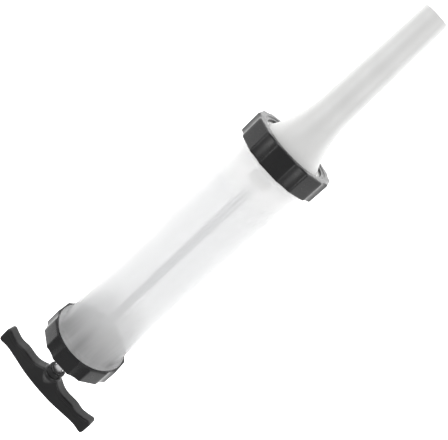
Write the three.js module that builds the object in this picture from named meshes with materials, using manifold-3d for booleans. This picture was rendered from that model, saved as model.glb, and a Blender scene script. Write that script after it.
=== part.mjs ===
// Hand-operated jerky gun: a clear barrel between two screw caps, a funnel nozzle and a T-handled plunger.
// Units are millimetres and degrees. The gun lies along X with its nozzle towards +X, and +Z is up.
// Stations along X are counted from the barrel's rear end, and radii from the gun's centre line.

import * as THREE from 'three';
import { mergeVertices } from 'three/addons/utils/BufferGeometryUtils.js';
import Module from 'manifold-3d';

const wasm = await Module();
wasm.setup();

// ---------------------------------------------------------------- driving dimensions

const gap = 0.3; // clearance kept between pieces that touch
const coarseSides = 40; // facets round the large turned pieces
const fineSides = 20; // facets round the small turned pieces

const barrelLength = 241.4;
const barrelRadius = 30;
const barrelWall = 2;
const threadLength = 9.6; // threaded length at each end of the barrel
const threadDepth = 0.9;
const threadPitch = 3.2; // spacing of the thread ridges, and a cap's travel in one turn
const collarHeight = 3.6; // how far the collar behind each thread stands out of the barrel
const collarWidth = 2.2;
const collarTaper = 3;

const gripWall = 3.7; // cap material between the thread bore and the flats of the grip
const flatAngle = 27; // angle that one flat of the grip spans
const flatCount = 8;
const scallopDepth = 1.3; // how far the hollows between flats lie below the flats' corners
const gripChamfer = 1.2;
const mouthOverlap = 1.9; // how far each cap reaches over the collar
const mouthClearance = 0.4;
const capPlate = 5.6; // thickness of the rear cap's end plate
const bossRadius = 11;
const bossReach = 9.5; // length of the guide boss inside the rear cap
const bossSeat = 1.7; // thickness left behind the wiper

const lipThickness = 2.3; // front ring's inward lip
const lipWidth = 4.1; // how far the lip reaches in over the nozzle's flange
const gasketThickness = 1.6;
const gasketWidth = 5.7;

const flangeThickness = 2;
const nozzleLength = 129;
const nozzleWall = 1.6;
const flareClearance = 1.8; // between the ring's lip and the foot of the nozzle's funnel
const flareLength = 44.6;
const throatRadius = 12.6; // outside radius where the funnel becomes the tube
const tipRadius = 9.95;

const rodRadius = 4.75;
const studRadius = 3.9;
const wiperLength = 1.7;
const bushingLength = 6.5;
const guideWall = 2; // wall of the bushing and of the wiper
const clipThickness = 1.2;
const clipBite = 0.9; // how deep the spring clip sits in its groove
const clipOpening = 50;

const seatClearance = 0.4; // how far the piston stops short of the barrel's front end
const pistonClearance = 1.4;
const sealClearance = 0.3;
const frontPlateThickness = 7;
const sealWidth = 3.5;
const rearPlateThickness = 4;
const pistonHubRadius = 9.5;
const recessRadius = 9.2;
const recessDepth = 5.8;
const washerRadius = 8;
const washerThickness = 1.2;
const nutFlats = 13; // distance across the flats of every nut
const thinNut = 3.6;
const fullNut = 4.3;
const bumperLength = 5.3;
const bumperRadius = 9.2;

const ferruleStandoff = 31.9; // from the rear cap's end face to the ferrule's front face
const ferruleLength = 5;
const ferruleRadius = 8;
const hubLength = 12; // from the ferrule's rear face to the bar's centre line
const hubRadius = 8.8;
const insertRadius = 5.6;
const insertLength = 5;
const barHalfLength = 55.5;
const barHalfThickness = 5.5;
const barEdge = 1.8; // rounding of the bar's long edges
const barCorner = 3.2; // rounding of the bar's four end corners, seen from above
const palmCrown = 11.1; // bar half width on the palm side at the middle
const palmShoulder = 8.2;
const palmWaist = 6.4;
const palmFlare = 7.3;
const fingerRoot = 9.6; // bar half width on the finger side beside the hub
const fingerHollow = 5.2;
const fingerCrest = 6.2;
const fingerFlare = 8.6;
const handleTurn = -3.5; // the bar's turn about the rod, as the gun lies

// ---------------------------------------------------------------- worked out from them

const boreRadius = barrelRadius - barrelWall;
const threadRadius = barrelRadius + threadDepth;
const collarRadius = barrelRadius + collarHeight;
const capBore = threadRadius + gap * 2;
const gripApothem = capBore + gripWall;
const gripCorner = gripApothem / Math.cos(THREE.MathUtils.degToRad(flatAngle / 2));
const mouthRadius = collarRadius + mouthClearance;
const capRear = -gap - capPlate;
const capMouth = threadLength + mouthOverlap;
const gasketStart = barrelLength + gap;
const flangeStart = gasketStart + gasketThickness + gap;
const lipStart = flangeStart + flangeThickness + gap;
const ringFront = lipStart + lipThickness;
const lipRadius = capBore - lipWidth - gap;
const flareRadius = lipRadius - flareClearance; // outside radius where the funnel leaves the flange
const ringRear = barrelLength - threadLength - mouthOverlap;
const nozzleTip = flangeStart + nozzleLength;
const runningBore = rodRadius + gap;
const studBore = studRadius + gap;

const wiperStart = capRear + bossSeat + gap;
const bushingStart = wiperStart + wiperLength + gap;
const clipStart = bushingStart + bushingLength + gap;
const guideBore = runningBore + guideWall + gap;
const bossFront = -gap + bossReach;

const pistonFront = barrelLength - seatClearance;
const frontPlateRear = pistonFront - frontPlateThickness;
const recessFloor = pistonFront - recessDepth;
const sealRear = frontPlateRear - gap - sealWidth;
const rearPlateFront = sealRear - gap;
const rearPlateRear = rearPlateFront - rearPlateThickness;
const rearWasherStart = rearPlateRear - gap - washerThickness;
const rearNutStart = rearWasherStart - gap - fullNut;
const jamNutStart = rearNutStart - gap - fullNut;
const shoulder = jamNutStart - gap;
const bumperStart = shoulder - bumperLength;
const pistonRadius = boreRadius - pistonClearance;
const sealRadius = boreRadius - sealClearance;

const ferruleFront = capRear - ferruleStandoff;
const ferruleRear = ferruleFront - ferruleLength;
const barCentre = ferruleRear - hubLength;
const insertFront = ferruleRear - gap * 4;
const insertRear = insertFront - insertLength;

// ---------------------------------------------------------------- materials

function plastic(color, roughness, opacity = 1) {
  return new THREE.MeshStandardMaterial({
    color, roughness, metalness: 0, opacity, transparent: opacity < 1,
  });
}

function metal(color, roughness) {
  return new THREE.MeshStandardMaterial({ color, roughness, metalness: 1 });
}

const clearPlastic = () => plastic(0xe9ecec, 0.35, 0.5);
const whitePlastic = () => plastic(0xe2e2e0, 0.4);
const blackPlastic = () => plastic(0x1b1b1c, 0.35);
const rubber = () => plastic(0x2a2a2b, 0.8);
const silicone = () => plastic(0xd9d7d0, 0.6);
const steel = () => metal(0xc9ccd0, 0.25);
const brass = () => metal(0xc2a05a, 0.35);

// ---------------------------------------------------------------- shape helpers

// A solid turned about the X axis from [station, radius] points. The outline closes on itself
// unless both its ends lie on the axis.
function turned(outline, sides = coarseSides) {
  const points = outline.map(([station, radius]) => new THREE.Vector2(radius, station));
  const solidCore = points[0].x === 0 && points[points.length - 1].x === 0;
  if (THREE.ShapeUtils.area(points) < 0) points.reverse();
  if (!solidCore) points.push(points[0].clone());
  const geometry = new THREE.LatheGeometry(points, sides);
  geometry.rotateZ(-Math.PI / 2);
  return geometry;
}

// A plain ring: a tube of the given radii from one station to another.
function ring(start, end, inner, outer, sides = fineSides) {
  return turned([[start, inner], [end, inner], [end, outer], [start, outer]], sides);
}

// A shape drawn in the YZ plane and extruded along X.
function extrudedAlongX(shape, start, end, curveSegments) {
  const geometry = new THREE.ExtrudeGeometry(shape, {
    depth: end - start, bevelEnabled: false, curveSegments,
  });
  geometry.rotateY(Math.PI / 2);
  geometry.translate(start, 0, 0);
  return geometry;
}

function toSolid(geometry) {
  const bare = geometry.clone();
  bare.deleteAttribute('normal');
  bare.deleteAttribute('uv');
  const merged = mergeVertices(bare, 1e-4);
  const solid = new wasm.Manifold(new wasm.Mesh({
    numProp: 3,
    vertProperties: new Float32Array(merged.attributes.position.array),
    triVerts: new Uint32Array(merged.index.array),
  }));
  return solid;
}

function fromSolid(solid) {
  const mesh = solid.getMesh();
  const geometry = new THREE.BufferGeometry();
  geometry.setAttribute('position', new THREE.BufferAttribute(mesh.vertProperties, mesh.numProp));
  geometry.setIndex(new THREE.BufferAttribute(mesh.triVerts, 1));
  return geometry;
}

// ---------------------------------------------------------------- barrel

// Outline points of one threaded end. side is 1 for the front end and -1 for the rear end.
function threadedEnd(end, side) {
  const points = [[end, barrelRadius]];
  const ridges = Math.round(threadLength / threadPitch);
  const ridgeSpan = threadLength / ridges;
  for (let ridge = 0; ridge < ridges; ridge += 1) {
    const foot = end - side * ridge * ridgeSpan;
    points.push([foot - side * ridgeSpan * 0.4, threadRadius]);
    points.push([foot - side * ridgeSpan * 0.9, barrelRadius]);
  }
  const collarStart = end - side * threadLength;
  points.push([collarStart, collarRadius]);
  points.push([collarStart - side * collarWidth, collarRadius]);
  points.push([collarStart - side * (collarWidth + collarTaper), barrelRadius]);
  return points;
}

function barrelGeometry() {
  return turned([
    ...threadedEnd(0, -1),
    ...threadedEnd(barrelLength, 1).reverse(),
    [barrelLength, boreRadius],
    [0, boreRadius],
  ]);
}

// ---------------------------------------------------------------- screw caps

// The grip's section: flats joined by shallow hollows, with one flat straight down.
function gripShape() {
  const shape = new THREE.Shape();
  const half = THREE.MathUtils.degToRad(flatAngle / 2);
  const step = (2 * Math.PI) / flatCount;
  const chordMiddle = gripCorner * Math.cos(step / 2 - half);
  const controlRadius = 2 * (gripCorner - scallopDepth) - chordMiddle;
  const at = (angle, radius) => [radius * Math.cos(angle), radius * Math.sin(angle)];
  shape.moveTo(...at(-half, gripCorner));
  for (let flat = 0; flat < flatCount; flat += 1) {
    const centre = flat * step;
    shape.lineTo(...at(centre + half, gripCorner));
    const control = at(centre + step / 2, controlRadius);
    shape.quadraticCurveTo(...control, ...at(centre + step - half, gripCorner));
  }
  return shape;
}

// The grip between two stations, its outer corners chamfered at both ends.
function gripBlank(start, end) {
  const prism = toSolid(extrudedAlongX(gripShape(), start, end, 4));
  const envelope = toSolid(turned([
    [start, 0],
    [start, gripCorner - gripChamfer],
    [start + gripChamfer, gripCorner + gap],
    [end - gripChamfer, gripCorner + gap],
    [end, gripCorner - gripChamfer],
    [end, 0],
  ]));
  return prism.intersect(envelope);
}

function frontRingGeometry() {
  const past = 1;
  const counterbore = barrelLength - threadLength + gap;
  const cavity = toSolid(turned([
    [ringRear - past, 0],
    [ringRear - past, mouthRadius],
    [counterbore, mouthRadius],
    [counterbore, capBore],
    [lipStart, capBore],
    [lipStart, lipRadius],
    [ringFront + past, lipRadius],
    [ringFront + past, 0],
  ]));
  return fromSolid(gripBlank(ringRear, ringFront).subtract(cavity));
}

function rearCapGeometry() {
  const past = 1;
  const counterbore = threadLength - gap;
  const cavity = toSolid(turned([
    [capMouth + past, mouthRadius],
    [counterbore, mouthRadius],
    [counterbore, capBore],
    [-gap, capBore],
    [-gap, bossRadius],
    [bossFront, bossRadius],
    [bossFront, 0],
    [capMouth + past, 0],
  ]));
  const grooveStart = clipStart - gap;
  const grooveEnd = clipStart + clipThickness + gap;
  const grooveRadius = guideBore + clipBite;
  const guide = toSolid(turned([
    [capRear - past, 0],
    [capRear - past, runningBore + gap],
    [capRear + bossSeat, runningBore + gap],
    [capRear + bossSeat, guideBore],
    [grooveStart, guideBore],
    [grooveStart, grooveRadius],
    [grooveEnd, grooveRadius],
    [grooveEnd, guideBore],
    [bossFront + past, guideBore],
    [bossFront + past, 0],
  ], fineSides));
  return fromSolid(gripBlank(capRear, capMouth).subtract(cavity).subtract(guide));
}

// ---------------------------------------------------------------- nozzle

function nozzleGeometry() {
  const flare = new THREE.CubicBezierCurve(
    new THREE.Vector2(flangeStart + flangeThickness * 0.7, flareRadius),
    new THREE.Vector2(flangeStart + flareLength * 0.19, throatRadius + 6.6),
    new THREE.Vector2(flangeStart + flareLength * 0.57, throatRadius + 1),
    new THREE.Vector2(flangeStart + flareLength, throatRadius),
  ).getPoints(9);
  const outside = flare.map((point) => [point.x, point.y]);
  const inside = flare.slice(1).map((point) => [point.x - nozzleWall * 0.5, point.y - nozzleWall]);
  return turned([
    [flangeStart, capBore - gap * 2],
    [flangeStart + flangeThickness, capBore - gap * 2],
    [flangeStart + flangeThickness, flareRadius + gap],
    ...outside.slice(1),
    [nozzleTip, tipRadius],
    [nozzleTip, tipRadius - nozzleWall],
    ...inside.reverse(),
    [flangeStart, flareRadius - nozzleWall],
  ]);
}

function gasketGeometry() {
  const outer = barrelRadius;
  return ring(gasketStart, gasketStart + gasketThickness, outer - gasketWidth, outer, coarseSides);
}

// ---------------------------------------------------------------- rod guide in the rear cap

function wiperGeometry() {
  return ring(wiperStart, wiperStart + wiperLength, runningBore, runningBore + guideWall);
}

function bushingGeometry() {
  return ring(bushingStart, bushingStart + bushingLength, runningBore, runningBore + guideWall);
}

// A spring clip: a flat ring with an opening, sprung into the boss's groove.
function clipGeometry() {
  const outer = guideBore + clipBite - gap;
  const inner = runningBore + gap;
  const half = THREE.MathUtils.degToRad(clipOpening / 2);
  const shape = new THREE.Shape();
  shape.absarc(0, 0, outer, half, 2 * Math.PI - half, false);
  shape.absarc(0, 0, inner, 2 * Math.PI - half, half, true);
  shape.closePath();
  return extrudedAlongX(shape, clipStart, clipStart + clipThickness, fineSides);
}

// ---------------------------------------------------------------- plunger

function rodGeometry() {
  const rearEnd = insertRear - gap;
  const frontEnd = pistonFront - gap;
  const chamfer = 0.6;
  return turned([
    [rearEnd, 0],
    [rearEnd, studRadius],
    [insertFront + gap, studRadius],
    [insertFront + gap, rodRadius],
    [shoulder, rodRadius],
    [shoulder, studRadius],
    [frontEnd - chamfer, studRadius],
    [frontEnd, studRadius - chamfer],
    [frontEnd, 0],
  ], fineSides);
}

// The plate that pushes the meat: its front edge is chamfered and a recess hides the nut.
function frontPlateGeometry() {
  const edge = 1.5;
  return turned([
    [frontPlateRear, studBore],
    [recessFloor, studBore],
    [recessFloor, recessRadius],
    [pistonFront, recessRadius],
    [pistonFront, pistonRadius - edge],
    [pistonFront - edge, pistonRadius],
    [frontPlateRear, pistonRadius],
  ]);
}

// A lip seal: a ring with a V groove open towards the front.
function sealGeometry() {
  const inner = pistonHubRadius + gap;
  const front = frontPlateRear - gap;
  const groove = 2;
  return turned([
    [sealRear, inner],
    [front, inner],
    [front, sealRadius - groove * 2],
    [front - groove, sealRadius - groove],
    [front, sealRadius - groove * 0.4],
    [front, sealRadius],
    [front - groove, sealRadius - gap],
    [sealRear, sealRadius - gap],
  ]);
}

function rearPlateGeometry() {
  return turned([
    [rearPlateRear, studBore],
    [frontPlateRear - gap, studBore],
    [frontPlateRear - gap, pistonHubRadius],
    [rearPlateFront, pistonHubRadius],
    [rearPlateFront, pistonRadius],
    [rearPlateRear + 1, pistonRadius],
    [rearPlateRear, pistonRadius - 1],
  ]);
}

function washerGeometry(start) {
  return ring(start, start + washerThickness, studBore, washerRadius);
}

function nutGeometry(start, thickness) {
  const corner = nutFlats / 2 / Math.cos(Math.PI / 6);
  const shape = new THREE.Shape();
  for (let side = 0; side < 6; side += 1) {
    const angle = (side * Math.PI) / 3;
    const point = [corner * Math.cos(angle), corner * Math.sin(angle)];
    if (side === 0) shape.moveTo(...point);
    else shape.lineTo(...point);
  }
  shape.closePath();
  const hole = new THREE.Path();
  hole.absarc(0, 0, studBore, 0, 2 * Math.PI, true);
  shape.holes.push(hole);
  return extrudedAlongX(shape, start, start + thickness, fineSides);
}

function bumperGeometry() {
  return turned([
    [bumperStart, runningBore],
    [shoulder, runningBore],
    [shoulder, bumperRadius],
    [bumperStart + 1.2, bumperRadius],
    [bumperStart, bumperRadius - 1.2],
  ], fineSides);
}

// ---------------------------------------------------------------- handle

// The bar's plan outline, drawn with the palm side towards -X and one arm along +Y.
function barShape() {
  const arm = (share, width) => new THREE.Vector2(width, share * barHalfLength);
  const mirrored = (points) => points.map((point) => new THREE.Vector2(point.x, -point.y)).reverse();
  const straight = barHalfLength - barCorner;
  const palmEnd = new THREE.Vector2(-palmFlare, straight);
  const fingerEnd = new THREE.Vector2(fingerFlare, straight);
  const palm = [
    arm(0.3, -palmCrown + 0.7), arm(0.56, -palmShoulder), arm(0.79, -palmWaist), palmEnd,
  ];
  const finger = [
    fingerEnd, arm(0.84, fingerFlare - 2), arm(0.73, fingerHollow), arm(0.58, fingerCrest),
    arm(0.4, fingerHollow), arm(0.28, fingerHollow + 1), arm(0.16, fingerRoot),
  ];
  const root = finger[finger.length - 1];
  const shape = new THREE.Shape();
  shape.moveTo(palmEnd.x, -straight);
  shape.splineThru([...mirrored(palm).slice(1), arm(0, -palmCrown), ...palm]);
  shape.quadraticCurveTo(palmEnd.x, barHalfLength, palmEnd.x + barCorner, barHalfLength);
  shape.lineTo(fingerEnd.x - barCorner, barHalfLength);
  shape.quadraticCurveTo(fingerEnd.x, barHalfLength, fingerEnd.x, straight);
  shape.splineThru(finger.slice(1));
  shape.lineTo(root.x, -root.y);
  shape.splineThru(mirrored(finger).slice(1));
  shape.quadraticCurveTo(fingerEnd.x, -barHalfLength, fingerEnd.x - barCorner, -barHalfLength);
  shape.lineTo(palmEnd.x + barCorner, -barHalfLength);
  shape.quadraticCurveTo(palmEnd.x, -barHalfLength, palmEnd.x, -straight);
  return shape;
}

function handleGeometry() {
  const bar = new THREE.ExtrudeGeometry(barShape(), {
    depth: 2 * (barHalfThickness - barEdge),
    bevelThickness: barEdge,
    bevelSize: barEdge,
    bevelOffset: -barEdge,
    bevelSegments: 3,
    curveSegments: 3,
  });
  bar.translate(barCentre, 0, barEdge - barHalfThickness);
  const hub = turned([
    [barCentre - palmCrown + barEdge, 0],
    [barCentre - palmCrown + barEdge, barHalfThickness - barEdge],
    [barCentre, barHalfThickness],
    [barCentre + palmShoulder, hubRadius],
    [ferruleRear - gap - 1, hubRadius],
    [ferruleRear - gap, hubRadius - 1],
    [ferruleRear - gap, 0],
  ], fineSides);
  const bore = turned([
    [insertRear - gap * 2, 0],
    [insertRear - gap * 2, insertRadius + gap],
    [ferruleRear + 1, insertRadius + gap],
    [ferruleRear + 1, 0],
  ], fineSides);
  return fromSolid(toSolid(bar).add(toSolid(hub)).subtract(toSolid(bore)));
}

function insertGeometry() {
  return ring(insertRear, insertFront, studBore, insertRadius);
}

function ferruleGeometry() {
  return turned([
    [ferruleRear, runningBore],
    [ferruleFront, runningBore],
    [ferruleFront, ferruleRadius - 0.8],
    [ferruleFront - 0.8, ferruleRadius],
    [ferruleRear, ferruleRadius],
  ], fineSides);
}

// ---------------------------------------------------------------- assembly

function piece(name, geometry, material) {
  const mesh = new THREE.Mesh(geometry, material);
  mesh.name = name;
  return mesh;
}

const body = new THREE.Group();
body.add(
  piece('barrel', barrelGeometry(), clearPlastic()),
  piece('front_lock_ring', frontRingGeometry(), blackPlastic()),
  piece('nozzle', nozzleGeometry(), whitePlastic()),
  piece('nozzle_gasket', gasketGeometry(), silicone()),
  piece('rear_cap', rearCapGeometry(), blackPlastic()),
  piece('rod_wiper', wiperGeometry(), rubber()),
  piece('rod_bushing', bushingGeometry(), whitePlastic()),
  piece('bushing_clip', clipGeometry(), steel()),
);

const piston = new THREE.Group();
piston.add(
  piece('piston_front_plate', frontPlateGeometry(), whitePlastic()),
  piece('piston_seal', sealGeometry(), silicone()),
  piece('piston_rear_plate', rearPlateGeometry(), whitePlastic()),
);

const plunger = new THREE.Group();
plunger.rotation.x = THREE.MathUtils.degToRad(handleTurn);
plunger.add(
  piece('plunger_rod', rodGeometry(), steel()),
  piece('piston_front_washer', washerGeometry(recessFloor + gap), steel()),
  piece('piston_front_nut', nutGeometry(recessFloor + washerThickness + gap * 2, thinNut), steel()),
  piece('piston_rear_washer', washerGeometry(rearWasherStart), steel()),
  piece('piston_rear_nut', nutGeometry(rearNutStart, fullNut), steel()),
  piece('piston_jam_nut', nutGeometry(jamNutStart, fullNut), steel()),
  piece('piston_bumper', bumperGeometry(), silicone()),
  piece('handle_grip', handleGeometry(), blackPlastic()),
  piece('handle_insert', insertGeometry(), brass()),
  piece('handle_ferrule', ferruleGeometry(), blackPlastic()),
);

// The gun rests on a flat of each cap, with the middle of its length over the origin.
const gun = new THREE.Group();
gun.add(body, piston, plunger);
gun.position.set(-(nozzleTip + barCentre - palmCrown) / 2, 0, gripApothem);

const jerkyGun = new THREE.Group();
jerkyGun.add(gun);

export default jerkyGun;
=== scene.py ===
import math

import bmesh
import bpy
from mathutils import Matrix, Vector


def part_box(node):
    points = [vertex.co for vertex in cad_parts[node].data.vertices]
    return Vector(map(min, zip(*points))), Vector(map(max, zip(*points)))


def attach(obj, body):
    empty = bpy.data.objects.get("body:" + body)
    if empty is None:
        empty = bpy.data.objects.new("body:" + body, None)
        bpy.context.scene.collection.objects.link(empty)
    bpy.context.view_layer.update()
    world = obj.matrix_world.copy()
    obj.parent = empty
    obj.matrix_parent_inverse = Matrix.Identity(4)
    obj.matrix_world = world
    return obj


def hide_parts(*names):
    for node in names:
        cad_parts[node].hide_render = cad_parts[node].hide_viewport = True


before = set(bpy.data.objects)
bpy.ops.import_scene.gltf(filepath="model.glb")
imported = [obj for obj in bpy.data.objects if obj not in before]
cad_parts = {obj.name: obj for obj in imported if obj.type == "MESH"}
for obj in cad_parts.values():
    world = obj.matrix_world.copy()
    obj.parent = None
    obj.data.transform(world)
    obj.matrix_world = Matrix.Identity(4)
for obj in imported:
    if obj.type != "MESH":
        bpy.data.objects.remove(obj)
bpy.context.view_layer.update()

MM = 0.001

# ------------------------------------------------------------------ places, from the frame


def ends(node):
    """First and last x of a CAD node."""
    low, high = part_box(node)
    return low.x, high.x


def outer(node):
    """Outside radius of a round CAD node about the gun's axis."""
    low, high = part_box(node)
    return (high.z - low.z) / 2


AXIS_Z = (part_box("barrel")[0].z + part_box("barrel")[1].z) / 2
BARREL_REAR, BARREL_FRONT = ends("barrel")
RING_REAR, RING_FRONT = ends("front_lock_ring")
CAP_REAR, CAP_MOUTH = ends("rear_cap")
NOZZLE_BACK, NOZZLE_TIP = ends("nozzle")

# Radii and lengths that a box can't give, in metres
BARREL_RADIUS = 30 * MM
BORE_RADIUS = 28 * MM
COLLAR_RADIUS = 33.6 * MM
COLLAR_WIDTH = 2.2 * MM
COLLAR_TAPER = 3 * MM
THREAD_LENGTH = 9.6 * MM
THREAD_DEPTH = 0.9 * MM
THREAD_PITCH = 3.2 * MM
CAP_BORE = 31.5 * MM
MOUTH_RADIUS = 34 * MM
MOUTH_DEPTH = 2.2 * MM
FLAT_COUNT = 8
FLAT_ANGLE = math.radians(27)
GRIP_APOTHEM = AXIS_Z  # the gun rests on a flat
GRIP_CORNER = GRIP_APOTHEM / math.cos(FLAT_ANGLE / 2)
SCALLOP_DEPTH = 1.4 * MM
ROD_RADIUS = 4.75 * MM
STUD_RADIUS = 3.9 * MM
RUNNING_BORE = 5.05 * MM
STUD_BORE = 4.2 * MM
HANDLE_TURN = math.radians(-3.5)

# ------------------------------------------------------------------ mesh helpers


def eased(outline, steps=4):
    """A closed loop of (x, r, ease) with each corner rounded by its ease, as (x, r) points."""
    points = []
    count = len(outline)
    for index, (x, r, ease) in enumerate(outline):
        corner = Vector((x, r))
        before = Vector(outline[index - 1][:2])
        after = Vector(outline[(index + 1) % count][:2])
        if ease <= 0:
            points.append((x, r))
            continue
        reach_in = min(ease, 0.45 * (corner - before).length)
        reach_out = min(ease, 0.45 * (after - corner).length)
        start = corner + (before - corner).normalized() * reach_in
        finish = corner + (after - corner).normalized() * reach_out
        for step in range(steps + 1):
            t = step / steps
            spot = start * (1 - t) ** 2 + corner * 2 * t * (1 - t) + finish * t**2
            points.append((spot.x, spot.y))
    return points


def mesh_object(name, bm, sharp=math.radians(38)):
    """An object from a bmesh: outward normals, smooth faces and crisp edges where they bend sharply."""
    bmesh.ops.recalc_face_normals(bm, faces=bm.faces)
    for face in bm.faces:
        face.smooth = True
    for edge in bm.edges:
        edge.smooth = len(edge.link_faces) != 2 or edge.calc_face_angle() < sharp
    mesh = bpy.data.meshes.new(name)
    bm.to_mesh(mesh)
    bm.free()
    obj = bpy.data.objects.new(name, mesh)
    bpy.context.scene.collection.objects.link(obj)
    return obj


def revolve(name, outline, segments=144, radius=None, angles=None):
    """A closed loop of (x, r) points turned about the gun's axis. radius(x, r, angle) may reshape it.
    A loop whose first and last points have r = 0 is a solid of revolution, capped on the axis."""
    spins = angles or [2 * math.pi * k / segments for k in range(segments)]
    bm = bmesh.new()
    on_axis = {}
    rows = []
    for angle in spins:
        row = []
        for index, (x, r) in enumerate(outline):
            if r == 0:
                if index not in on_axis:
                    on_axis[index] = bm.verts.new((x, 0, AXIS_Z))
                row.append(on_axis[index])
                continue
            reach = radius(x, r, angle) if radius else r
            row.append(bm.verts.new((x, reach * math.cos(angle), AXIS_Z + reach * math.sin(angle))))
        rows.append(row)
    count = len(outline)
    last = count - 1 if outline[0][1] == 0 and outline[-1][1] == 0 else count
    for k, row in enumerate(rows):
        other = rows[(k + 1) % len(rows)]
        for i in range(last):
            j = (i + 1) % count
            corners = []
            for vert in (row[i], row[j], other[j], other[i]):
                if vert not in corners:
                    corners.append(vert)
            if len(corners) > 2:
                bm.faces.new(corners)
    return mesh_object(name, bm)


def round_ring(name, node, inner, ease=0.25 * MM, segments=64):
    """A plain ring that stands for a CAD ring: its ends and outside come from the node's box."""
    start, end = ends(node)
    outside = outer(node)
    loop = [(start, inner, ease), (end, inner, ease), (end, outside, ease), (start, outside, ease)]
    return revolve(name, eased(loop), segments)


def finish_piece(obj, node, body, material):
    """Gives a piece its material and body, and hides the CAD node that it stands for."""
    obj.data.materials.clear()
    obj.data.materials.append(material)
    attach(obj, body)
    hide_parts(node)
    return obj


# ------------------------------------------------------------------ materials


def new_material(name):
    material = bpy.data.materials.new(name)
    material.use_nodes = True
    tree = material.node_tree
    shader = tree.nodes["Principled BSDF"]
    place = tree.nodes.new("ShaderNodeTexCoord")
    return material, tree, shader, place


def noise(tree, place, scale, detail=4.0, stretch=(1, 1, 1)):
    """A noise texture in object space. stretch above 1 along an axis makes it finer that way."""
    mapping = tree.nodes.new("ShaderNodeMapping")
    mapping.inputs["Scale"].default_value = stretch
    texture = tree.nodes.new("ShaderNodeTexNoise")
    texture.inputs["Scale"].default_value = scale
    texture.inputs["Detail"].default_value = detail
    tree.links.new(place.outputs["Object"], mapping.inputs["Vector"])
    tree.links.new(mapping.outputs["Vector"], texture.inputs["Vector"])
    return texture.outputs["Fac"]


def ramp(tree, source, low, high):
    """Maps a 0.3 to 0.7 noise value to the range from low to high."""
    node = tree.nodes.new("ShaderNodeMapRange")
    node.inputs["From Min"].default_value = 0.3
    node.inputs["From Max"].default_value = 0.7
    node.inputs["To Min"].default_value = low
    node.inputs["To Max"].default_value = high
    tree.links.new(source, node.inputs["Value"])
    return node.outputs["Result"]


def tint(tree, source, dark, light):
    """A colour between dark and light, chosen by a noise value."""
    node = tree.nodes.new("ShaderNodeValToRGB")
    node.color_ramp.elements[0].position = 0.3
    node.color_ramp.elements[0].color = (*dark, 1)
    node.color_ramp.elements[1].position = 0.7
    node.color_ramp.elements[1].color = (*light, 1)
    tree.links.new(source, node.inputs["Fac"])
    return node.outputs["Color"]


def bump(tree, shader, source, depth, strength=0.5):
    node = tree.nodes.new("ShaderNodeBump")
    node.inputs["Strength"].default_value = strength
    node.inputs["Distance"].default_value = depth
    tree.links.new(source, node.inputs["Height"])
    tree.links.new(node.outputs["Normal"], shader.inputs["Normal"])


def plastic(name, dark, light, gloss, grain, depth, specular=0.5, sheen=0.0):
    """Moulded plastic: cloudy colour, uneven gloss between two roughness values, and a fine grain."""
    material, tree, shader, place = new_material(name)
    cloud = noise(tree, place, 45.0, 3.0)
    tree.links.new(tint(tree, cloud, dark, light), shader.inputs["Base Color"])
    patches = noise(tree, place, 160.0, 5.0)
    tree.links.new(ramp(tree, patches, *gloss), shader.inputs["Roughness"])
    bump(tree, shader, noise(tree, place, grain, 2.0), depth, 0.35)
    shader.inputs["Specular IOR Level"].default_value = specular
    shader.inputs["Sheen Weight"].default_value = sheen
    shader.inputs["Sheen Roughness"].default_value = 0.3
    return material


def near_end(tree, place, start, finish):
    """A value that falls smoothly from 1 at x = start to 0 at x = finish."""
    split = tree.nodes.new("ShaderNodeSeparateXYZ")
    fade = tree.nodes.new("ShaderNodeMapRange")
    fade.interpolation_type = "SMOOTHSTEP"
    fade.inputs["From Min"].default_value = min(start, finish)
    fade.inputs["From Max"].default_value = max(start, finish)
    fade.inputs["To Min"].default_value = 1.0 if start < finish else 0.0
    fade.inputs["To Max"].default_value = 0.0 if start < finish else 1.0
    tree.links.new(place.outputs["Object"], split.inputs["Vector"])
    tree.links.new(split.outputs["X"], fade.inputs["Value"])
    return fade.outputs["Result"]


def maths(tree, operation, *values):
    """A math node whose inputs are numbers or other nodes' outputs."""
    node = tree.nodes.new("ShaderNodeMath")
    node.operation = operation
    for socket, value in zip(node.inputs, values):
        if isinstance(value, (int, float)):
            socket.default_value = value
        else:
            tree.links.new(value, socket)
    return node.outputs["Value"]


def blend(tree, factor, colour, other):
    """Mixes a node's colour with a fixed one."""
    node = tree.nodes.new("ShaderNodeMix")
    node.data_type = "RGBA"
    factor_socket, first, second = (next(s for s in node.inputs if s.identifier == name)
                                    for name in ("Factor_Float", "A_Color", "B_Color"))
    tree.links.new(factor, factor_socket)
    tree.links.new(colour, first)
    second.default_value = other
    return next(s for s in node.outputs if s.identifier == "Result_Color")


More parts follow.
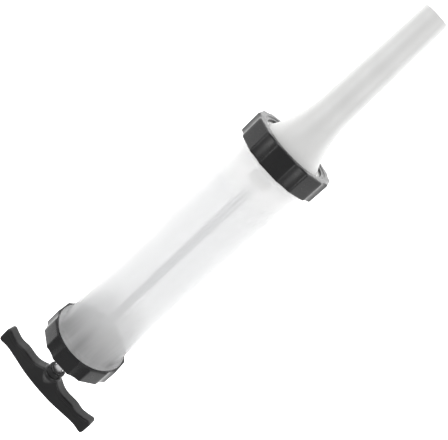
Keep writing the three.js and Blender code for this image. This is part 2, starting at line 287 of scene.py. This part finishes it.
def clear_plastic():
    """Frosted clear plastic: a milky skin that shows faintly what lies behind it. Near its two ends it is
    cloudier, and a streaky grey tint at the rear is painted shade: it stands for the black cap seen
    blurred through the wall."""
    material, tree, shader, place = new_material("frosted_clear_plastic")
    cloud = noise(tree, place, 22.0, 2.0, (0.25, 1, 1))
    milk = tint(tree, cloud, (0.70, 0.705, 0.71), (0.74, 0.74, 0.74))
    # streaks that break up the painted shade near the rear end
    shade_streaks = ramp(tree, noise(tree, place, 75.0, 3.0, (0.12, 1, 1)), 0.6, 1.0)
    rear = near_end(tree, place, BARREL_REAR + 18 * MM, BARREL_REAR + 54 * MM)
    front = near_end(tree, place, BARREL_FRONT - 22 * MM, BARREL_FRONT - 45 * MM)
    front_milk = (0.84, 0.84, 0.84, 1)
    # painted shade: the grey of the black cap seen blurred through the wall, fixed in the colour whatever
    # lies behind
    painted_cap_shade = (0.30, 0.30, 0.302, 1)
    paler = blend(tree, maths(tree, "MULTIPLY", front, 0.9), milk, front_milk)
    shaded = blend(tree, maths(tree, "MULTIPLY", rear, shade_streaks), paler, painted_cap_shade)
    tree.links.new(shaded, shader.inputs["Base Color"])
    haze = ramp(tree, noise(tree, place, 30.0, 2.0, (0.2, 1, 1)), 0.41, 0.45)
    extra_haze = 0.17
    cloudy = maths(tree, "MULTIPLY_ADD", maths(tree, "MAXIMUM", rear, front), extra_haze, haze)
    tree.links.new(cloudy, shader.inputs["Alpha"])
    tree.links.new(ramp(tree, noise(tree, place, 120.0), 0.34, 0.42), shader.inputs["Roughness"])
    bump(tree, shader, noise(tree, place, 1500.0, 2.0, (0.2, 1, 1)), 0.00001, 0.15)
    shader.inputs["Specular IOR Level"].default_value = 0.14
    return material


def metal(name, dark, light, gloss, stretch):
    """Drawn or turned metal: fine lines across or along it, and an uneven shine."""
    material, tree, shader, place = new_material(name)
    lines = noise(tree, place, 900.0, 3.0, stretch)
    tree.links.new(tint(tree, lines, dark, light), shader.inputs["Base Color"])
    tree.links.new(ramp(tree, noise(tree, place, 300.0), *gloss), shader.inputs["Roughness"])
    bump(tree, shader, lines, 0.00001, 0.25)
    shader.inputs["Metallic"].default_value = 1.0
    return material


# Each is: darkest and lightest colour, lowest and highest roughness, grain size, grain depth
CLEAR = clear_plastic()
WHITE = plastic(
    "white_food_plastic", (0.56, 0.56, 0.555), (0.60, 0.60, 0.595), (0.36, 0.46), 2600.0, 0.00002)
BLACK = plastic(
    "black_moulded_plastic", (0.004, 0.004, 0.0044), (0.008, 0.008, 0.0084), (0.24, 0.36), 1900.0, 0.00004,
    specular=0.34, sheen=0.05)
GRIP_BLACK = plastic(
    "black_handle_plastic", (0.004, 0.004, 0.0044), (0.009, 0.009, 0.0094), (0.32, 0.44), 1500.0, 0.00006,
    specular=0.34, sheen=0.03)
SILICONE = plastic(
    "milky_silicone", (0.62, 0.61, 0.58), (0.70, 0.69, 0.66), (0.45, 0.6), 1200.0, 0.00003)
RUBBER = plastic(
    "black_rubber", (0.018, 0.018, 0.018), (0.030, 0.030, 0.030), (0.65, 0.85), 1400.0, 0.00005)
STEEL = metal(
    "bright_drawn_steel", (0.86, 0.86, 0.87), (0.94, 0.94, 0.95), (0.26, 0.36), (0.05, 1, 1))
FASTENER = metal(
    "turned_steel", (0.50, 0.51, 0.52), (0.66, 0.67, 0.68), (0.22, 0.34), (1, 0.3, 0.3))
BRASS = metal(
    "turned_brass", (0.50, 0.36, 0.15), (0.66, 0.50, 0.24), (0.22, 0.34), (1, 0.3, 0.3))

# ------------------------------------------------------------------ barrel


def thread_height(x, angle, start, length):
    """Height from 0 to 1 of a helical thread that fades out at both its ends."""
    turns = (x - start) / THREAD_PITCH - angle / (2 * math.pi)
    wave = 0.5 - 0.5 * math.cos(2 * math.pi * turns)
    crest = min(1.0, wave * 1.5)
    along = (x - start) / length
    fade = max(0.0, min(1.0, along * 8, (1 - along) * 8))
    return crest * fade


def barrel_piece():
    step = 0.4 * MM
    dense = [k * step for k in range(1, round(THREAD_LENGTH / step))]

    def one_end(end, side):
        """Outline from one end's bore edge to the barrel's plain outside. side is 1 at the front."""
        foot = end - side * THREAD_LENGTH
        loop = [(end, BARREL_RADIUS, 0.5 * MM)]
        loop += [(end - side * d, BARREL_RADIUS, 0) for d in dense]
        loop += [
            (foot, BARREL_RADIUS, 0),
            (foot, COLLAR_RADIUS, 0.5 * MM),
            (foot - side * COLLAR_WIDTH, COLLAR_RADIUS, 0.6 * MM),
            (foot - side * (COLLAR_WIDTH + COLLAR_TAPER * 0.6), BARREL_RADIUS + 0.5 * MM, 1.2 * MM),
            (foot - side * (COLLAR_WIDTH + COLLAR_TAPER + 1.5 * MM), BARREL_RADIUS, 1.5 * MM),
        ]
        return loop

    outline = one_end(BARREL_REAR, -1)
    outline += one_end(BARREL_FRONT, 1)[::-1]
    outline += [(BARREL_FRONT, BORE_RADIUS, 0.4 * MM), (BARREL_REAR, BORE_RADIUS, 0.4 * MM)]

    def radius(x, r, angle):
        if abs(r - BARREL_RADIUS) > 0.05 * MM:
            return r
        if x < BARREL_REAR + THREAD_LENGTH:
            return r + THREAD_DEPTH * thread_height(x, angle, BARREL_REAR, THREAD_LENGTH)
        foot = BARREL_FRONT - THREAD_LENGTH
        if x > foot:
            return r + THREAD_DEPTH * thread_height(x, angle, foot, THREAD_LENGTH)
        return r

    obj = revolve("barrel_tube", eased(outline), 160, radius)
    return finish_piece(obj, "barrel", "barrel_body", CLEAR)


# ------------------------------------------------------------------ screw caps


def grip_angles():
    """Angles round a grip: close together at the flats' corners, so that these stay crisp."""
    step = 2 * math.pi / FLAT_COUNT
    half = FLAT_ANGLE / 2
    crisp = math.radians(0.35)
    angles = []
    for flat in range(FLAT_COUNT):
        centre = flat * step
        angles += [centre + half * (k / 5) for k in range(-4, 5)]
        angles += [centre + half - crisp, centre + half + crisp]
        gap = step - 2 * half
        angles += [centre + half + gap * k / 12 for k in range(1, 12)]
        angles += [centre + step - half - crisp, centre + step - half + crisp]
    return sorted(angle % (2 * math.pi) for angle in angles)


def grip_radius(angle):
    """Radius of the grip's section: a flat, or a shallow hollow between two flats."""
    step = 2 * math.pi / FLAT_COUNT
    offset = (angle + step / 2) % step - step / 2
    half = FLAT_ANGLE / 2
    if abs(offset) <= half:
        return GRIP_APOTHEM / math.cos(offset)
    across = (abs(offset) - half) / (step / 2 - half)
    return GRIP_CORNER - SCALLOP_DEPTH * math.sin(across * math.pi / 2)


def grip_shaper(bore_start, bore_end, thread_start):
    """A radius function for a cap: the grip's section outside, and a helical thread in its bore."""
    inside_limit = MOUTH_RADIUS + 0.05 * MM

    def radius(x, r, angle):
        if r > inside_limit:
            sink = GRIP_CORNER - r
            share = (r - inside_limit) / (GRIP_CORNER - inside_limit)
            drop = (GRIP_CORNER - grip_radius(angle)) * min(1.0, share * 2)
            return max(GRIP_CORNER - sink - drop, inside_limit)
        if abs(r - CAP_BORE) < 0.02 * MM and bore_start < x < bore_end:
            return r - 0.3 * MM * (1 - thread_height(x, angle, thread_start, THREAD_LENGTH))
        return r

    return radius


def bore_stations(start, end):
    """Closely spaced outline points along a threaded bore."""
    count = 24
    return [(start + (end - start) * k / count, CAP_BORE, 0) for k in range(1, count)]


def front_ring_piece():
    lip_radius = 27.1 * MM
    lip_thickness = 2.3 * MM
    lip_rear = RING_FRONT - lip_thickness
    shelf = 0.7 * MM
    thread_start = BARREL_FRONT - THREAD_LENGTH
    mouth_floor = RING_REAR + MOUTH_DEPTH
    outline = [
        (RING_REAR, MOUTH_RADIUS, 0.2 * MM),
        (RING_REAR, GRIP_CORNER - 0.4 * MM, 0.15 * MM),
        (RING_REAR + 0.8 * MM, GRIP_CORNER, 0.4 * MM),
        (RING_FRONT - 0.9 * MM, GRIP_CORNER, 0.4 * MM),
        (RING_FRONT, GRIP_CORNER - 0.9 * MM, 0.4 * MM),
        (RING_FRONT, 30.4 * MM, 0.3 * MM),
        (RING_FRONT - shelf, 29.6 * MM, 0.3 * MM),
        (RING_FRONT - shelf, lip_radius, 0.4 * MM),
        (lip_rear, lip_radius, 0.3 * MM),
        (lip_rear, CAP_BORE, 0.2 * MM),
        *bore_stations(lip_rear, mouth_floor),
        (mouth_floor, CAP_BORE, 0.2 * MM),
        (mouth_floor, MOUTH_RADIUS, 0.2 * MM),
    ]
    shaper = grip_shaper(mouth_floor, BARREL_FRONT, thread_start)
    obj = revolve("front_lock_ring_moulding", eased(outline), radius=shaper, angles=grip_angles())
    return finish_piece(obj, "front_lock_ring", "front_ring_body", BLACK)


def rear_cap_piece():
    plate_front = BARREL_REAR - 0.3 * MM
    boss_radius = 11 * MM
    boss_reach = 9.5 * MM
    boss_front = plate_front + boss_reach
    clip_groove = 0.9 * MM
    rod_hole = 5.35 * MM
    clip_start, clip_end = ends("bushing_clip")
    guide_bore = outer("rod_bushing") + 0.3 * MM
    seat = CAP_REAR + 1.7 * MM
    mouth_floor = CAP_MOUTH - MOUTH_DEPTH
    gap = 0.3 * MM
    outline = [
        (CAP_MOUTH, MOUTH_RADIUS, 0.15 * MM),
        (CAP_MOUTH, GRIP_CORNER - 0.4 * MM, 0.15 * MM),
        (CAP_MOUTH - 1.6 * MM, GRIP_CORNER, 0.5 * MM),
        (CAP_REAR + 0.9 * MM, GRIP_CORNER, 0.5 * MM),
        (CAP_REAR, GRIP_CORNER - 0.9 * MM, 0.4 * MM),
        (CAP_REAR, 29.5 * MM, 0.4 * MM),
        (CAP_REAR + 0.8 * MM, 28.5 * MM, 0.4 * MM),
        (CAP_REAR + 0.8 * MM, 13.2 * MM, 0.4 * MM),
        (CAP_REAR, 12.2 * MM, 0.4 * MM),
        (CAP_REAR, rod_hole, 0.3 * MM),
        (seat, rod_hole, 0.1 * MM),
        (seat, guide_bore, 0.1 * MM),
        (clip_start - gap, guide_bore, 0.1 * MM),
        (clip_start - gap, guide_bore + clip_groove, 0.1 * MM),
        (clip_end + gap, guide_bore + clip_groove, 0.1 * MM),
        (clip_end + gap, guide_bore, 0.1 * MM),
        (boss_front, guide_bore, 0.3 * MM),
        (boss_front, boss_radius, 0.5 * MM),
        (plate_front, boss_radius, 0.8 * MM),
        (plate_front, CAP_BORE, 0.3 * MM),
        *bore_stations(plate_front, mouth_floor),
        (mouth_floor, CAP_BORE, 0.2 * MM),
        (mouth_floor, MOUTH_RADIUS, 0.2 * MM),
    ]
    shaper = grip_shaper(BARREL_REAR, mouth_floor, BARREL_REAR)
    obj = revolve("rear_cap_moulding", eased(outline), radius=shaper, angles=grip_angles())
    return finish_piece(obj, "rear_cap", "rear_cap_body", BLACK)


# ------------------------------------------------------------------ nozzle


def bezier(points, t):
    a, b, c, d = points
    s = 1 - t
    return a * s**3 + b * 3 * s * s * t + c * 3 * s * t * t + d * t**3


def nozzle_piece():
    flange = 2 * MM
    wall = 1.6 * MM
    flare = [
        Vector((NOZZLE_BACK + 0.7 * flange, 25.3 * MM)),
        Vector((NOZZLE_BACK + 8.5 * MM, 19.2 * MM)),
        Vector((NOZZLE_BACK + 25.4 * MM, 13.6 * MM)),
        Vector((NOZZLE_BACK + 44.6 * MM, 12.6 * MM)),
    ]
    tip_radius = 9.95 * MM
    steps = 40
    outside = [bezier(flare, k / steps) for k in range(1, steps + 1)]
    tube = 24
    for k in range(1, tube):
        share = k / tube
        outside.append(flare[3].lerp(Vector((NOZZLE_TIP, tip_radius)), share))
    flange_radius = outer("nozzle")
    outline = [
        (NOZZLE_BACK, flange_radius, 0.4 * MM),
        (NOZZLE_BACK + flange, flange_radius, 0.4 * MM),
        (NOZZLE_BACK + flange, 25.6 * MM, 0.5 * MM),
        *[(p.x, p.y, 0) for p in outside],
        (NOZZLE_TIP, tip_radius, 0.5 * MM),
        (NOZZLE_TIP, tip_radius - wall, 0.4 * MM),
        *[(p.x - 0.5 * wall, p.y - wall, 0) for p in reversed(outside)],
        (NOZZLE_BACK, 23.7 * MM, 0.4 * MM),
    ]
    obj = revolve("nozzle_moulding", eased(outline), 160)
    return finish_piece(obj, "nozzle", "nozzle_body", WHITE)


# ------------------------------------------------------------------ plunger


def hexagon(flats):
    """A radius function for a six-sided nut, its corners turned down at both ends."""

    def radius(x, r, angle):
        if r < STUD_BORE + 1 * MM:
            return r
        offset = (angle - HANDLE_TURN) % (math.pi / 3) - math.pi / 6
        side = flats / 2 / math.cos(offset)
        return min(side, r)

    return radius


def nut_piece(node):
    start, end = ends(node)
    flats = 13 * MM
    corner = flats / 2 / math.cos(math.pi / 6)
    loop = [
        (start, STUD_BORE, 0.3 * MM),
        (end, STUD_BORE, 0.3 * MM),
        (end, flats / 2 - 0.1 * MM, 0),
        (end - 0.5 * MM, corner, 0),
        (start + 0.5 * MM, corner, 0),
        (start, flats / 2 - 0.1 * MM, 0),
    ]
    obj = revolve(node + "_hex", eased(loop), 72, hexagon(flats))
    return finish_piece(obj, node, "plunger_body", FASTENER)


def rod_piece():
    rear, front = ends("plunger_rod")
    insert_front = ends("handle_insert")[1] + 0.3 * MM
    shoulder = ends("piston_bumper")[1]
    edge = 0.4 * MM

    def stud(start, end):
        """Closely spaced outline points along a threaded stud."""
        count = max(8, round((end - start) / (0.25 * MM)))
        return [(start + (end - start) * k / count, STUD_RADIUS, 0) for k in range(1, count)]

    def radius(x, r, angle):
        if abs(r - STUD_RADIUS) > 0.02 * MM:
            return r
        turns = x / (1.25 * MM) - angle / (2 * math.pi)
        return r - 0.45 * MM * (0.5 - 0.5 * math.cos(2 * math.pi * turns))

    loop = [
        (rear, 0, 0),
        (rear, STUD_RADIUS - edge, 0.1 * MM),
        *stud(rear, insert_front),
        (insert_front, STUD_RADIUS - 0.1 * MM, 0),
        (insert_front, ROD_RADIUS, 0.3 * MM),
        (shoulder, ROD_RADIUS, 0.3 * MM),
        (shoulder, STUD_RADIUS - 0.1 * MM, 0),
        *stud(shoulder, front),
        (front, STUD_RADIUS - edge, 0.1 * MM),
        (front, 0, 0),
    ]
    obj = revolve("plunger_rod_bar", eased(loop), 48, radius)
    return finish_piece(obj, "plunger_rod", "plunger_body", STEEL)


def piston_pieces():
    rear, front = ends("piston_front_plate")
    outside = outer("piston_front_plate")
    recess_floor = front - 5.8 * MM
    recess = 9.2 * MM
    front_plate = [
        (rear, STUD_BORE, 0.2 * MM),
        (recess_floor, STUD_BORE, 0.2 * MM),
        (recess_floor, recess, 0.4 * MM),
        (front, recess, 0.5 * MM),
        (front, outside - 1.5 * MM, 0.5 * MM),
        (front - 1.5 * MM, outside, 0.5 * MM),
        (rear, outside, 0.4 * MM),
    ]
    obj = revolve("piston_front_plate_moulding", eased(front_plate), 128)
    finish_piece(obj, "piston_front_plate", "piston_body", WHITE)

    rear, front = ends("piston_seal")
    lip = outer("piston_seal")
    seal = [
        (rear, 9.8 * MM, 0.3 * MM),
        (front, 9.8 * MM, 0.3 * MM),
        (front, lip - 4 * MM, 0.3 * MM),
        (front - 2 * MM, lip - 2 * MM, 0.4 * MM),
        (front, lip - 0.8 * MM, 0.2 * MM),
        (front, lip, 0.1 * MM),
        (front - 2 * MM, lip - 0.3 * MM, 0.8 * MM),
        (rear, lip - 0.3 * MM, 0.4 * MM),
    ]
    obj = revolve("piston_seal_lip", eased(seal), 128)
    finish_piece(obj, "piston_seal", "piston_body", SILICONE)

    rear, front = ends("piston_rear_plate")
    outside = outer("piston_rear_plate")
    step = rear + 4 * MM
    rear_plate = [
        (rear, STUD_BORE, 0.2 * MM),
        (front, STUD_BORE, 0.2 * MM),
        (front, 9.5 * MM, 0.3 * MM),
        (step, 9.5 * MM, 0.3 * MM),
        (step, outside, 0.4 * MM),
        (rear + 1 * MM, outside, 0.5 * MM),
        (rear, outside - 1 * MM, 0.5 * MM),
        (rear, 21 * MM, 0.4 * MM),
        (rear + 1.2 * MM, 20 * MM, 0.4 * MM),
        (rear + 1.2 * MM, 12.5 * MM, 0.4 * MM),
        (rear, 11.5 * MM, 0.4 * MM),
    ]
    obj = revolve("piston_rear_plate_moulding", eased(rear_plate), 128)
    finish_piece(obj, "piston_rear_plate", "piston_body", WHITE)


def clip_piece():
    """The spring clip: a flat open ring with a small eye at each end."""
    start, end = ends("bushing_clip")
    outside = outer("rod_bushing") + 0.9 * MM
    inside = RUNNING_BORE + 0.6 * MM
    half = math.radians(26)
    eye = 1.0 * MM
    bm = bmesh.new()
    count = 64
    rows = []
    for k in range(count + 1):
        share = k / count
        angle = half + (2 * math.pi - 2 * half) * share
        near_end = max(0.0, 1 - min(share, 1 - share) * 16)
        thick_in = inside - eye * 0.2 * near_end
        row = []
        for x, r in ((start, thick_in), (end, thick_in), (end, outside), (start, outside)):
            row.append(bm.verts.new((x, r * math.cos(angle), AXIS_Z + r * math.sin(angle))))
        rows.append(row)
    for a, b in zip(rows, rows[1:]):
        for i in range(4):
            j = (i + 1) % 4
            bm.faces.new((a[i], a[j], b[j], b[i]))
    bm.faces.new(rows[0])
    bm.faces.new(list(reversed(rows[-1])))
    obj = mesh_object("bushing_clip_spring", bm)
    bevel = obj.modifiers.new("edges", "BEVEL")
    bevel.width = 0.12 * MM
    bevel.segments = 2
    return finish_piece(obj, "bushing_clip", "rod_guide_body", FASTENER)


# ------------------------------------------------------------------ handle


def edge_profile(points, low, high, bins):
    """Largest x of the handle in each slice along Y, near its middle plane."""
    best = [None] * bins
    for x, y, z in points:
        k = int((y - low) / (high - low) * bins)
        if 0 <= k < bins and abs(z) < 2.2 * MM and (best[k] is None or x > best[k]):
            best[k] = x
    known = [b for b in best if b is not None]
    return [known[0] if b is None else b for b in best]


def handle_piece():
    """The T-handle: the CAD solid remeshed finely, its joints softened, with a moulded step along
    both faces beside the finger edge."""
    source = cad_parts["handle_grip"]
    mesh = source.data.copy()
    obj = bpy.data.objects.new("handle_moulding", mesh)
    bpy.context.scene.collection.objects.link(obj)
    weld = obj.modifiers.new("weld", "WELD")
    weld.merge_threshold = 0.01 * MM
    remesh = obj.modifiers.new("remesh", "REMESH")
    remesh.mode = "VOXEL"
    remesh.voxel_size = 0.45 * MM
    remesh.use_smooth_shade = True
    smooth = obj.modifiers.new("smooth", "SMOOTH")
    smooth.factor = 0.5
    smooth.iterations = 9
    bpy.context.view_layer.update()
    graph = bpy.context.evaluated_depsgraph_get()
    fine = bpy.data.meshes.new_from_object(obj.evaluated_get(graph))
    obj.modifiers.clear()
    obj.data = fine
    fine.name = "handle_moulding"

    turn = HANDLE_TURN
    cos_turn, sin_turn = math.cos(turn), math.sin(turn)

    def level(co):
        """A point in the handle's own level frame: x along the rod, y along the bar, z through it."""
        y, z = co.y, co.z - AXIS_Z
        return co.x, y * cos_turn + z * sin_turn, -y * sin_turn + z * cos_turn

    local = [level(v.co) for v in fine.vertices]
    reach = max(p[1] for p in local)
    bins = 90
    finger = edge_profile(local, -reach, reach, bins)
    smoothed = list(finger)
    for k in range(2, bins - 2):
        smoothed[k] = sum(finger[k - 2:k + 3]) / 5
    face = max(p[2] for p in local if abs(p[1]) > 25 * MM)
    hub_edge = 12 * MM
    end_edge = reach - 4 * MM
    inset = 3.6 * MM
    width = 0.55 * MM
    depth = 0.5 * MM
    lip_offset = 1.5 * MM
    lip_width = 1.1 * MM
    lip_height = 0.1 * MM
    hub_fade = 5 * MM
    end_fade = 4 * MM
    for vertex, (x, y, z) in zip(fine.vertices, local):
        if abs(z) < face * 0.6:
            continue
        k = min(bins - 1, max(0, int((y + reach) / (2 * reach) * bins)))
        gap = smoothed[k] - inset - x
        near_hub = max(0.0, min(1.0, (abs(y) - hub_edge) / hub_fade))
        near_end = max(0.0, min(1.0, (end_edge - abs(y)) / end_fade))
        weight = near_hub * near_end
        groove = math.exp(-((gap / width) ** 2)) * depth
        lip = math.exp(-(((gap - lip_offset) / lip_width) ** 2)) * lip_height
        shift = (lip - groove) * weight * (1 if z > 0 else -1)
        vertex.co.y += -sin_turn * shift
        vertex.co.z += cos_turn * shift
    for polygon in fine.polygons:
        polygon.use_smooth = True
    return finish_piece(obj, "handle_grip", "plunger_body", GRIP_BLACK)


def ferrule_piece():
    rear, front = ends("handle_ferrule")
    outside = outer("handle_ferrule")
    loop = [
        (rear, RUNNING_BORE, 0.2 * MM),
        (front, RUNNING_BORE, 0.3 * MM),
        (front, outside - 0.8 * MM, 0.3 * MM),
        (front - 0.8 * MM, outside, 0.4 * MM),
        (rear, outside, 0.3 * MM),
    ]
    obj = revolve("handle_ferrule_collar", eased(loop), 72)
    return finish_piece(obj, "handle_ferrule", "plunger_body", BLACK)


# ------------------------------------------------------------------ the object

barrel_piece()
front_ring_piece()
rear_cap_piece()
nozzle_piece()
rod_piece()
piston_pieces()
clip_piece()
handle_piece()
ferrule_piece()
for nut_node in ("piston_front_nut", "piston_rear_nut", "piston_jam_nut"):
    nut_piece(nut_node)
for washer_node in ("piston_front_washer", "piston_rear_washer"):
    washer = round_ring(washer_node + "_disc", washer_node, STUD_BORE, 0.15 * MM)
    finish_piece(washer, washer_node, "plunger_body", FASTENER)
for ring_name, ring_node, ring_body, ring_slot, ring_bore, ring_finish in (
    ("rod_wiper_ring", "rod_wiper", "rod_guide_body", "black_rubber", RUNNING_BORE, RUBBER),
    ("rod_bushing_sleeve", "rod_bushing", "rod_guide_body", "white_plastic", RUNNING_BORE, WHITE),
    ("piston_bumper_ring", "piston_bumper", "plunger_body", "silicone", RUNNING_BORE, SILICONE),
    ("handle_insert_sleeve", "handle_insert", "plunger_body", "brass", STUD_BORE, BRASS),
    ("nozzle_gasket_ring", "nozzle_gasket", "nozzle_body", "silicone", 24.3 * MM, SILICONE),
):
    part = round_ring(ring_name, ring_node, ring_bore, 0.3 * MM, 96)
    finish_piece(part, ring_node, ring_body, ring_finish)

# ------------------------------------------------------------------ floor, light and camera


FLOOR_GLOW = 1.3
SKY_STRENGTH = 0.62
KEY_POWER = 7.0
FILL_POWER = 6.0
LIGHT_SIZE = 0.8


def floor_piece():
    """A wide pale sheet just under the gun."""
    half = 15.0
    bm = bmesh.new()
    bmesh.ops.create_grid(bm, x_segments=8, y_segments=8, size=half)
    bmesh.ops.translate(bm, verts=bm.verts, vec=(0, 0, -0.2 * MM))
    obj = mesh_object("studio_floor", bm)
    material, tree, shader, place = new_material("pale_floor")
    tree.links.new(tint(tree, noise(tree, place, 6.0), (0.90, 0.90, 0.90), (0.92, 0.92, 0.92)),
                   shader.inputs["Base Color"])
    shader.inputs["Roughness"].default_value = 0.9
    shader.inputs["Specular IOR Level"].default_value = 0.1
    shader.inputs["Emission Color"].default_value = (1, 1, 1, 1)
    shader.inputs["Emission Strength"].default_value = FLOOR_GLOW
    obj.data.materials.append(material)


def soft_light(name, place, aim, size, power):
    light = bpy.data.lights.new(name, "AREA")
    light.shape = "SQUARE"
    light.size = size
    light.energy = power
    obj = bpy.data.objects.new(name, light)
    obj.location = place
    obj.rotation_euler = (Vector(aim) - Vector(place)).to_track_quat("-Z", "Y").to_euler()
    bpy.context.scene.collection.objects.link(obj)


def studio():
    world = bpy.data.worlds.new("studio")
    world.use_nodes = True
    background = world.node_tree.nodes["Background"]
    background.inputs["Color"].default_value = (1, 1, 1, 1)
    background.inputs["Strength"].default_value = SKY_STRENGTH
    bpy.context.scene.world = world
    aim = (0, 0, AXIS_Z)
    soft_light("key", (0.15, 0.9, 1.0), aim, LIGHT_SIZE, KEY_POWER)
    soft_light("fill", (0.1, -0.9, 1.0), aim, LIGHT_SIZE, FILL_POWER)
    bpy.context.scene.view_settings.view_transform = "Standard"


def camera():
    """Looks steeply down from the nozzle end, rolled so that the gun runs up to the right."""
    distance = 0.4706
    elevation = math.radians(68.96)
    roll = math.radians(133.1)
    target = Vector((0.01725, -0.0034, AXIS_Z))
    side_lean = 0.0015
    back = Vector((math.cos(elevation), side_lean, math.sin(elevation))).normalized()
    level_up = (Vector((0, 0, 1)) - back * back.z).normalized()
    level_right = level_up.cross(back)
    up = level_up * math.cos(roll) + level_right * math.sin(roll)
    right = up.cross(back)
    lens = bpy.data.cameras.new("camera")
    lens.sensor_width = 36
    lens.lens = 50.15
    lens.clip_start = 0.01
    obj = bpy.data.objects.new("camera", lens)
    matrix = obj.matrix_world.copy()
    for row in range(3):
        matrix[row][0] = right[row]
        matrix[row][1] = up[row]
        matrix[row][2] = back[row]
        matrix[row][3] = (target + back * distance)[row]
    obj.matrix_world = matrix
    bpy.context.scene.collection.objects.link(obj)
    bpy.context.scene.camera = obj


floor_piece()
studio()
camera()
